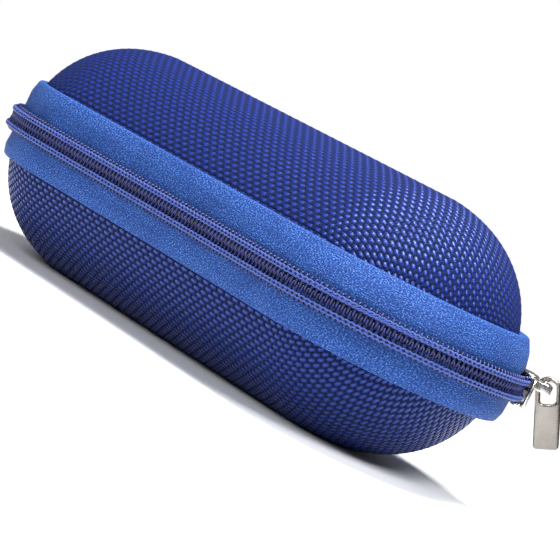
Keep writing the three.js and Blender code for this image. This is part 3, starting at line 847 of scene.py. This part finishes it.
for side in ("left", "right"):
    run = end_run(side)
    soup = Soup()
    flap = rounded_ring([(TAPE_IN, TAPE_EDGE), (TAPE_OUT, TAPE_EDGE),
                         (TAPE_OUT, FLAP_TOP), (TAPE_IN, FLAP_TOP)], 0.3)
    sweep_section(soup, run, flap, 1.0, False)
    soup.build(f"{side}_end_tape_cloth", BAND, "lower_half", [f"{side}_end_tape"], "zip_tape")
    add_coil(f"{side}_end_wire", run, 1.0, "lower_half", f"{side}_end_coil")
    add_stitching(f"{side}_end_chain_stitch", run, 1.0, "lower_half", f"{side}_end_stitching")


# ---- hinge -----------------------------------------------------------------------------------
def strip_soup(y_in, y_out, half_length, half_height, rows, round_by):
    """A flat strip across the back, as a grid of cloth with rounded edges."""
    zs = np.linspace(-half_height, half_height, rows)
    xs = np.linspace(-half_length, half_length, 46)
    thickness = (y_out - y_in) / 2.0
    ease = thickness * (1.0 - (np.abs(zs) / half_height) ** 12 * round_by)
    outer = [(y_in + thickness + e, z) for e, z in zip(ease, zs)]
    inner = [(y_in + thickness - e, z) for e, z in zip(ease, zs)]
    ring = np.array(outer + inner[::-1])
    points = np.array([[(x, y, z + ZIP_PLANE) for y, z in ring] for x in xs])
    steps = np.linalg.norm(np.diff(np.vstack([ring, ring[:1]]), axis=0), axis=1)
    soup = Soup()
    soup.grid(points, np.append(xs, xs[-1]), np.concatenate([[0.0], np.cumsum(steps)]),
              wrap_v=True, caps=True)
    return soup


def across_hinge(piece):
    """Bakes the piece's placement into its mesh."""
    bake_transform(piece)


gusset = strip_soup(TAPE_IN, TAPE_OUT, HINGE_HALF, HINGE_RISE, 23, 0.7).build(
    "hinge_gusset_cloth", BAND, None, ["hinge_gusset"], "zip_tape")
across_hinge(gusset)
hinge_lining = strip_soup(TAPE_IN - GAP - LINING, TAPE_IN - GAP, HINGE_HALF,
                          HINGE_LINING_RISE, 13, 0.6).build(
    "hinge_lining_knit", ribbon_cloth("hinge_lining_rib", (0.006, 0.006, 0.01, 1), (0.02, 0.02, 0.03, 1)),
    None, ["hinge_lining"], "lining")
across_hinge(hinge_lining)

for side, x in (("left", -HINGE_SEAM), ("right", HINGE_SEAM)):
    soup = Soup()
    zs = np.linspace(-HINGE_SEAM_RISE, HINGE_SEAM_RISE, 41)
    sway = HINGE_SEAM_SWAY * np.cos(zs / (2.0 * HINGE_SEAM_RISE) * 2.0 * np.pi * HINGE_SEAM_WAVES)
    for strand in (-1.0, 1.0):
        centres = np.stack([x + strand * sway, np.full(41, TAPE_OUT + 0.2), zs + ZIP_PLANE], axis=-1)
        add_tube(soup, centres, np.tile((0.0, 1.0, 0.0), (41, 1)), np.full(41, HINGE_SEAM_THREAD), 6)
    across_hinge(soup.build(f"{side}_gusset_stitches", THREAD_BLUE, None,
                            [f"{side}_gusset_seam"], "thread"))


# ---- slider ---------------------------------------------------------------------------------
SLIDER = Matrix.Translation((SPINE * MM, 0.0, ZIP_PLANE * MM)) @ Matrix.Rotation(
    math.radians(SLIDER_ANGLE), 4, "Z")
PULL = SLIDER @ Matrix.Translation((BAR_CENTRE * MM, 0.0, BAIL_RISE * MM)) @ Matrix.Rotation(
    -math.radians(PULL_SWING), 4, "Y")


def placed(points, matrix):
    """Points in millimetres, carried by a matrix that moves metres."""
    flat = points.reshape(-1, 3) * MM
    moved = flat @ np.array(matrix.to_3x3()).T + np.array(matrix.translation)
    return (moved / MM).reshape(points.shape)


def slab(soup, r0, r1, half_angle, z_low, z_high, taper, corner, start=None):
    """A plate that follows the round end, narrower towards its two ends."""
    low = -half_angle if start is None else start
    angles = np.linspace(low, half_angle, 25)
    middle_angle = (low + half_angle) / 2.0
    reach = (half_angle - low) / 2.0
    rings = []
    for a in angles:
        f = abs(a - middle_angle) / reach
        width = 1.0 - taper * f ** 4
        thin = 1.0 - 0.55 * max(0.0, (f - 0.86) / 0.14) ** 2
        mid_z = (z_low + z_high) / 2.0
        half_z = (z_high - z_low) / 2.0 * width
        mid_r = (r0 + r1) / 2.0
        half_r = (r1 - r0) / 2.0 * thin
        ring = rounded_ring([(mid_r - half_r, mid_z - half_z), (mid_r + half_r, mid_z - half_z),
                             (mid_r + half_r, mid_z + half_z), (mid_r - half_r, mid_z + half_z)], corner)
        t = math.radians(a)
        rings.append([(r * math.cos(t), r * math.sin(t), z) for r, z in ring])
    points = placed(np.array(rings), SLIDER)
    soup.grid(points, np.linspace(0, 1, 26), np.linspace(0, 1, points.shape[1] + 1),
              wrap_v=True, caps=True)


half_span = SLIDER_SPAN / 2.0
inner_out = (TAPE_IN + LIFT) * math.cos(math.radians(INNER_CHORD)) - GAP
lip_start = TAPE_OUT + GAP + LIFT
soup = Soup()
slab(soup, PLATE_IN, PLATE_OUT, half_span, -SLIDER_HALF_WIDTH, SLIDER_HALF_WIDTH,
     PLATE_TAPER, PLATE_CORNER)
slab(soup, inner_out - PLATE, inner_out, half_span, -INNER_HALF_WIDTH, INNER_HALF_WIDTH,
     PLATE_TAPER, PLATE_CORNER)
slab(soup, inner_out - 0.4, PLATE_IN + 0.4, half_span - 0.6, -NECK_HALF_WIDTH, NECK_HALF_WIDTH,
     0.0, 0.2, half_span - NECK_SPAN)
for z_low, z_high in ((FLANGE_LOW, FLANGE_HIGH), (-FLANGE_HIGH, -FLANGE_LOW)):
    slab(soup, lip_start, PLATE_IN + PLATE_BITE, half_span - 0.8, z_low, z_high, 0.0, 0.25)
soup.build("slider_casting", NICKEL, "zip_slider", ["slider_body"], "nickel")


def flat_bar_path(soup, path, half_width, half_thick):
    """A rounded flat bar bent along a path in the local x-y plane, its width along z."""
    path = np.asarray(path, dtype=float)
    tangent = np.gradient(path, axis=0)
    tangent /= np.linalg.norm(tangent, axis=1, keepdims=True)
    normal = np.stack([tangent[:, 1], -tangent[:, 0]], axis=-1)
    ring = rounded_ring([(-half_thick, -half_width), (half_thick, -half_width),
                         (half_thick, half_width), (-half_thick, half_width)], 0.42, 4)
    points = np.array([[(p[0] + n[0] * t, p[1] + n[1] * t, BAIL_RISE + w) for t, w in ring]
                       for p, n in zip(path, normal)])
    soup.grid(placed(points, SLIDER), np.linspace(0, 1, len(path) + 1), np.linspace(0, 1, len(ring) + 1),
              wrap_v=True, caps=True)


def arch_path():
    """The bail's middle line: out from the plate, across the bar and back."""
    side = BAIL_WINDOW + BAIL_BAR / 2.0
    bend = BAIL_BEND
    foot = PLATE_OUT - BAIL_FOOT
    points = [(foot, -side), (BAR_CENTRE - bend, -side)]
    points += [(BAR_CENTRE - bend + bend * math.sin(t), -side + bend - bend * math.cos(t))
               for t in np.linspace(0.2, math.pi / 2.0, 7)]
    back = [(x, -y) for x, y in reversed(points)]
    return points + [(BAR_CENTRE, y) for y in np.linspace(-side + bend, side - bend, 6)[1:-1]] + back


soup = Soup()
flat_bar_path(soup, arch_path(), BAIL_WIDTH / 2.0, BAIL_BAR / 2.0)
soup.build("slider_arch", NICKEL, "zip_slider", ["slider_bail"], "nickel")


# ---- pull -----------------------------------------------------------------------------------
def tab_outline(half_width, low, high, foot, top, steps=8):
    """A rectangle with its own rounding at the foot and at the top, anticlockwise."""
    rows = []
    corners = [(-half_width + foot, low + foot, foot, 180.0), (half_width - foot, low + foot, foot, 270.0),
               (half_width - top, high - top, top, 0.0), (-half_width + top, high - top, top, 90.0)]
    for x, z, radius, start in corners:
        for a in np.linspace(start, start + 90.0, steps):
            t = math.radians(a)
            rows.append((x + radius * math.cos(t), z + radius * math.sin(t)))
    return np.array(rows)


def grow(outline, by):
    """The outline moved outwards along its normals."""
    ahead = np.roll(outline, -1, axis=0) - outline
    behind = outline - np.roll(outline, 1, axis=0)
    tangent = ahead / np.maximum(np.linalg.norm(ahead, axis=1, keepdims=True), 1e-9)
    tangent += behind / np.maximum(np.linalg.norm(behind, axis=1, keepdims=True), 1e-9)
    tangent /= np.linalg.norm(tangent, axis=1, keepdims=True)
    return outline + by * np.stack([tangent[:, 1], -tangent[:, 0]], axis=-1)


def add_pull():
    """One closed skin: over the outside edge, across a face, through the eye and back."""
    half = PULL_WIDTH / 2.0
    thick = PULL_THICKNESS / 2.0
    outer = tab_outline(half, half - PULL_LENGTH, half, PULL_FOOT, PULL_CORNER)
    eye = tab_outline(PULL_EYE, -PULL_EYE - PULL_EYE_DROP, PULL_EYE, PULL_FOOT, PULL_EYE_CORNER)
    edge = [(-PULL_BEVEL * (1 - math.sin(t)), thick - PULL_BEVEL * (1 - math.cos(t)))
            for t in np.linspace(math.pi / 2.0, 0.0, 5)]
    rings = [(grow(outer, by), y) for by, y in edge]
    rim = ((0.82, 0.0), (0.7, 0.13), (0.5, 0.2), (0.3, 0.16), (0.1, 0.0), (0.0, -0.25))
    rings += [(grow(eye, by), thick + rise) for by, rise in rim]
    mirrored = [(ring, -y) for ring, y in reversed(rings)]
    loops = rings + mirrored
    points = np.array([[(x, y, z) for x, z in ring] for ring, y in loops])
    points = placed(points, PULL)
    soup = Soup()
    soup.grid(points, np.linspace(0, 1, len(loops) + 1), np.linspace(0, 1, points.shape[1] + 1),
              wrap_u=True, wrap_v=True)
    soup.build("pull_casting", SATIN, "zip_pull", ["pull_tab"], "satin_nickel")


add_pull()

# ---- carried-over CAD pieces ------------------------------------------------------------------
for prefix in ("lower", "upper"):
    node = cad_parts[f"{prefix}_shell_foam"]
    node.data.materials.clear()
    node.data.materials.append(FOAM_BOARD)


# ---- floor, light and camera ------------------------------------------------------------------
def floor_material():
    """Pale and matt, fading out towards the rim of the disc."""
    paint = Paint("pale_table", Specular_IOR_Level=0.2)
    place = paint.place()
    grain = paint.noise(place, 500.0, 3.0)
    length = paint.nodes.new("ShaderNodeVectorMath")
    length.operation = "LENGTH"
    paint.links.new(place, length.inputs[0])
    paint.feed(paint.shader.inputs["Alpha"], paint.ramp(length.outputs["Value"], 0.12, 0.42, 1.0, 0.0))
    color = paint.mix(grain, (0.8, 0.8, 0.81, 1), (0.84, 0.84, 0.85, 1))
    return paint.done(color, 0.8, paint.bump(grain, 0.01 * MM))


bpy.ops.mesh.primitive_circle_add(vertices=96, radius=0.45, fill_type="NGON",
                                  location=(0.0, 0.0, -0.0002))
floor = bpy.context.object
floor.name = "table_top"
floor.data.materials.append(floor_material())

world = bpy.data.worlds.new("pale_room")
bpy.context.scene.world = world
world.use_nodes = True
backdrop = world.node_tree.nodes["Background"]
links = world.node_tree.links
backdrop.inputs["Color"].default_value = (1.0, 1.0, 1.0, 1.0)
ray = world.node_tree.nodes.new("ShaderNodeLightPath")
room_level = world.node_tree.nodes.new("ShaderNodeMapRange")
room_level.inputs["To Min"].default_value = 0.14
room_level.inputs["To Max"].default_value = 1.0
links.new(ray.outputs["Is Camera Ray"], room_level.inputs["Value"])
links.new(room_level.outputs[0], backdrop.inputs["Strength"])
bpy.context.scene.view_settings.view_transform = "Standard"


def soft_light(name, offset, size, energy, color):
    """An area light that faces the case from an offset in metres."""
    data = bpy.data.lights.new(name, "AREA")
    data.shape = "RECTANGLE"
    data.size, data.size_y = size
    data.energy = energy
    data.color = color
    light = bpy.data.objects.new(name, data)
    bpy.context.scene.collection.objects.link(light)
    aim = Vector((0.0, 0.0, 0.03))
    light.location = aim + Vector(offset)
    light.rotation_euler = (aim - light.location).to_track_quat("-Z", "Y").to_euler()


soft_light("overhead_softbox", (0.06, -0.02, 0.62), (0.3, 0.26), 10.5, (1.0, 0.99, 0.98))
soft_light("front_softbox", (0.02, -0.62, 0.38), (0.5, 0.4), 3.2, (0.98, 0.99, 1.0))
soft_light("end_softbox", (0.4, -0.1, 0.46), (0.2, 0.2), 3.3, (0.98, 0.99, 1.0))

TARGET = Vector((8.4, 6.8, 25.7)) * MM
DISTANCE = 576.2 * MM
AZIMUTH = math.radians(41.07)
ELEVATION = math.radians(4.10)
ROLL = math.radians(26.81)
back = Vector((math.sin(AZIMUTH) * math.cos(ELEVATION), -math.cos(AZIMUTH) * math.cos(ELEVATION),
               math.sin(ELEVATION)))
level = Vector((math.cos(AZIMUTH), math.sin(AZIMUTH), 0.0))
upright = back.cross(level)
right = level * math.cos(ROLL) + upright * math.sin(ROLL)
up = upright * math.cos(ROLL) - level * math.sin(ROLL)
camera_data = bpy.data.cameras.new("camera")
camera_data.lens = 147.7
camera_data.sensor_width = 36.0
camera_data.clip_start = 0.01
camera = bpy.data.objects.new("camera", camera_data)
bpy.context.scene.collection.objects.link(camera)
turn = Matrix((right, up, back)).transposed().to_4x4()
camera.matrix_world = Matrix.Translation(TARGET + back * DISTANCE) @ turn
bpy.context.scene.camera = camera
